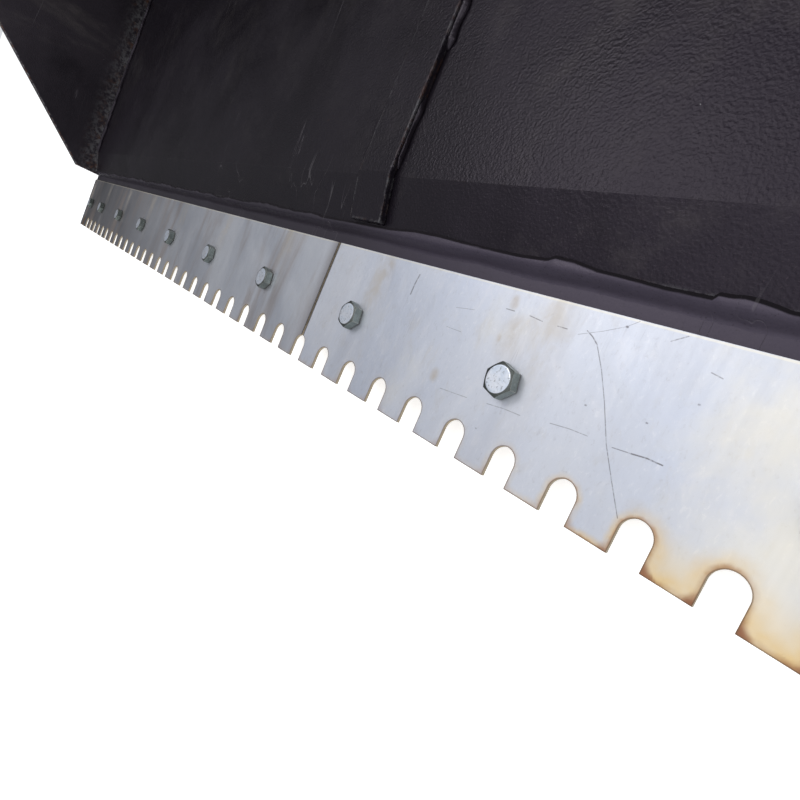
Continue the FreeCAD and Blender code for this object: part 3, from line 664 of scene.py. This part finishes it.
def weld_all():
    side = 1.008
    floor_top, back_face, back_rear = 0.031, 0.315, 0.321
    floor_weld(side, -0.278, 0.022, 0.237)

    corners = []
    for edge, inward in ((side, LEFT), (-side, RIGHT)):
        corners.append(((edge, -0.240, floor_top), (edge, 0.168, floor_top), inward, UPWARD))
        corners.append(((edge, -0.282, LIP_TOP), (edge, -0.2146, LIP_TOP), inward, UPWARD))
        corners.append(((edge, back_face, 0.180), (edge, back_face, 0.428), inward, FORWARD))
        corners.append(((edge, 0.245, 0.500), (edge, 0.245, 0.548), inward, FORWARD))
    weld("weld_side_corners", corners, 0.005, 0.005, 5)

    channel_foot = 0.430
    channel = ((-side, back_face, channel_foot), (side, back_face, channel_foot), DOWN, FORWARD)
    weld("weld_channel", [channel], 0.005, 0.005, 7)

    strap = []
    for edge, outward in ((0.016, LEFT), (0.056, RIGHT)):
        for first in (-0.236, -0.150, -0.064, 0.022, 0.108):
            strap.append(((edge, first, floor_top), (edge, first + 0.052, floor_top), outward, UPWARD))
    weld("weld_strap", strap, 0.004, 0.004, 9)

    bars = []
    half_bar, floor_under = 0.025, 0.025
    for middle in (-0.76, -0.28, 0.28, 0.76):
        for edge, outward in ((middle - half_bar, LEFT), (middle + half_bar, RIGHT)):
            for first in (-0.180, -0.060, 0.060):
                run = ((edge, first, floor_under), (edge, first + 0.060, floor_under), outward, DOWN)
                bars.append(run)
    weld("weld_wear_bars", bars, 0.005, 0.005, 11)

    hitch = []
    half_hitch, rib_inside, pad_rear = 0.565, 0.173, 0.331
    ledge_top, ledge_under, pad_top, rail_top = 0.125, 0.113, 0.513, 0.545
    rib_low, rib_high = 0.128, 0.520
    for low, high in ((-0.553, -0.185), (0.185, 0.553)):
        hitch.append(((low, pad_rear, ledge_top), (high, pad_rear, ledge_top), BACKWARD, UPWARD))
        hitch.append(((low, back_rear, pad_top), (high, back_rear, pad_top), BACKWARD, UPWARD))
    for edge, outward in ((-half_hitch, LEFT), (half_hitch, RIGHT)):
        hitch.append(((edge, back_rear, rib_low), (edge, back_rear, rib_high), outward, BACKWARD))
    for edge, outward in ((-rib_inside, RIGHT), (rib_inside, LEFT)):
        hitch.append(((edge, back_rear, rib_low), (edge, back_rear, rib_high), outward, BACKWARD))
        hitch.append(((edge, 0.323, ledge_top), (edge, 0.392, ledge_top), outward, UPWARD))
    for level in (rail_top, ledge_under):
        run = ((-half_hitch, back_rear, level), (half_hitch, back_rear, level), BACKWARD, DOWN)
        hitch.append(run)
    weld("weld_hitch", hitch, 0.005, 0.005, 13)

    rims = []
    across_heel = (0, -0.715, 0.699)
    for edge, outward in ((-1.016, LEFT), (1.016, RIGHT)):
        rims.append(((edge, 0.040, 0.078), (edge, 0.132, 0.172), outward, across_heel))
        rims.append(((edge, 0.138, 0.175), (edge, 0.310, 0.175), outward, UPWARD))
    weld("weld_side_rims", rims, 0.005, 0.005, 15)


def bolt_row(side, seed_shift, places):
    """Hexagon bolts with a dished crown, a chamfer and a washer face, standing for the plain CAD ones."""
    dice = random.Random(17 + seed_shift)
    flats, height, crown, shank = 0.018, 0.0075, 0.0083, 0.006
    shank_depth, row_y = 0.0155, -0.3442
    tilt = math.tan(math.radians(22.0))
    shape = bmesh.new()
    turns = 72
    for place in places:
        lean = math.radians(-19.0 + 2.3 * places.index(place) + dice.uniform(-0.5, 0.5))
        middle = Vector((place, row_y, STRIP_TOP))
        seed = dice.uniform(0.0, 90.0)
        rings = []
        profile = [("disc", share) for share in (0.18, 0.42, 0.66, 0.85, 0.955, 1.0)]
        profile += [("chamfer", 0.5), ("chamfer", 1.0), ("side", 0.78), ("side", 0.5), ("side", 0.16)]
        profile += [("under", 0.5), ("face", 1.0), ("face", 0.0), ("shank", 0.0), ("shank", 1.0)]
        for kind, share in profile:
            ring = []
            for number in range(turns):
                angle = 2.0 * math.pi * number / turns
                corner = (angle + math.pi / 6.0) % (math.pi / 3.0) - math.pi / 6.0
                hexagon = flats / 2.0 / math.cos(math.pi / 6.0 - abs(corner))
                drop = max(0.0, hexagon - crown) * tilt
                if kind == "disc":
                    radius = crown * share
                    spot = (radius * 700 * math.cos(angle) + seed, radius * 700 * math.sin(angle), seed)
                    dent = 0.00004 * noise.noise(Vector(spot))
                    level = height - 0.00012 * (share > 0.98) + dent * (share < 0.97)
                elif kind == "chamfer":
                    radius = crown + (hexagon - crown) * share * 0.985
                    level = height - 0.00012 - drop * share
                elif kind == "side":
                    radius = hexagon
                    level = (height - drop - 0.0002) * share + 0.0006 * (1.0 - share)
                elif kind == "under":
                    radius, level = hexagon * 0.985, 0.00045
                elif kind == "face":
                    radius, level = crown * 0.97, 0.00045 * share
                else:
                    radius, level = shank, -shank_depth * share
                turned = angle + lean
                offset = Vector((radius * math.cos(turned), radius * math.sin(turned), level))
                ring.append(shape.verts.new(middle + offset))
            rings.append(ring)
        close_tube(shape, rings)
    piece = add_piece("bolt_heads_" + side, shape, LOOKS["bolt_zinc"], 24.0)
    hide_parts("edge_bolts_" + side)


weld_all()
step = BOLT_SPACING / 1000.0
bolt_row("right", 1, [FIRST_RIGHT + step * number for number in range(7)])
bolt_row("left", -1, [FIRST_LEFT - step * number for number in range(6)] + [LAST_LEFT])


# ---- floor, light and camera --------------------------------------------------------------------

def floor_material():
    """Pale floor that stays white in shade."""
    look = Look("pale_floor")
    cloud = look.noise(1.3, 4.0, 0.5)
    grain = look.noise(300.0, 3.0, 0.6)
    color = look.mix(cloud, (0.86, 0.86, 0.86, 1.0), (0.90, 0.90, 0.90, 1.0))
    bump = look.height(grain, 0.0002, 0.2)
    material = look.finish(color, 0.75, 0.0, bump, 0.2)
    shader = next(node for node in look.nodes if node.type == "BSDF_PRINCIPLED")
    shader.inputs["Emission Color"].default_value = (1.0, 1.0, 1.0, 1.0)
    shader.inputs["Emission Strength"].default_value = 0.62
    return material


def area(name, place, target, size, power):
    """A round soft light."""
    light = bpy.data.lights.new(name, "AREA")
    light.shape = "DISK"
    light.size = size
    light.energy = power
    lamp = bpy.data.objects.new(name, light)
    lamp.location = place
    lamp.rotation_euler = (Vector(target) - Vector(place)).to_track_quat("-Z", "Y").to_euler()
    bpy.context.scene.collection.objects.link(lamp)


def sky():
    world = bpy.data.worlds.new("studio")
    bpy.context.scene.world = world
    world.use_nodes = True
    nodes, links = world.node_tree.nodes, world.node_tree.links
    nodes.clear()
    coordinates = nodes.new("ShaderNodeTexCoord")
    split = nodes.new("ShaderNodeSeparateXYZ")
    links.new(coordinates.outputs["Generated"], split.inputs[0])

    def ramp(socket, low, high, start, end):
        node = nodes.new("ShaderNodeMapRange")
        node.interpolation_type = "SMOOTHSTEP"
        for name, value in (("From Min", low), ("From Max", high), ("To Min", start), ("To Max", end)):
            if isinstance(value, bpy.types.NodeSocket):
                links.new(value, node.inputs[name])
            else:
                node.inputs[name].default_value = value
        links.new(socket, node.inputs["Value"])
        return node.outputs["Result"]

    # The surroundings are darker low down towards -X, which is what the far half of the strip mirrors.
    horizon = ramp(split.outputs["X"], 0.3, -0.6, 0.42, 0.02)
    zenith = ramp(split.outputs["X"], 0.3, -0.6, 0.85, 0.62)
    rise = ramp(split.outputs["Z"], 0.12, 0.85, horizon, zenith)
    background = nodes.new("ShaderNodeBackground")
    background.inputs["Color"].default_value = (0.95, 0.97, 1.0, 1.0)
    # Seen directly, they are one plain pale tone.
    backdrop = nodes.new("ShaderNodeMix")
    links.new(nodes.new("ShaderNodeLightPath").outputs["Is Camera Ray"], backdrop.inputs[0])
    links.new(rise, backdrop.inputs[2])
    backdrop.inputs[3].default_value = 0.72
    links.new(backdrop.outputs[0], background.inputs["Strength"])
    output = nodes.new("ShaderNodeOutputWorld")
    links.new(background.outputs[0], output.inputs[0])


bpy.ops.mesh.primitive_plane_add(size=30.0, location=(0.0, 0.0, -0.0003))
floor = bpy.context.object
floor.name = "pale_floor"
floor.data.materials.append(floor_material())

sky()
area("key", (-1.3, 0.9, 2.6), (0.1, -0.3, 0.0), 1.4, 20.0)
area("fill", (2.4, 0.3, 1.7), (0.1, -0.3, 0.1), 1.8, 15.0)
area("front", (0.4, -2.6, 1.6), (0.0, -0.1, 0.1), 2.2, 5.0)
area("top", (0.4, -0.4, 3.2), (0.2, -0.3, 0.0), 2.6, 14.0)

lens = bpy.data.cameras.new("camera")
lens.lens = 24.223
lens.sensor_width = 36.0
lens.clip_start = 0.005
camera = bpy.data.objects.new("camera", lens)
camera.location = (0.38913, -0.34491, 0.25668)
camera.rotation_euler = tuple(math.radians(angle) for angle in (17.955, 43.8127, 33.4019))
bpy.context.scene.collection.objects.link(camera)
bpy.context.scene.camera = camera
bpy.context.scene.view_settings.view_transform = "Standard"
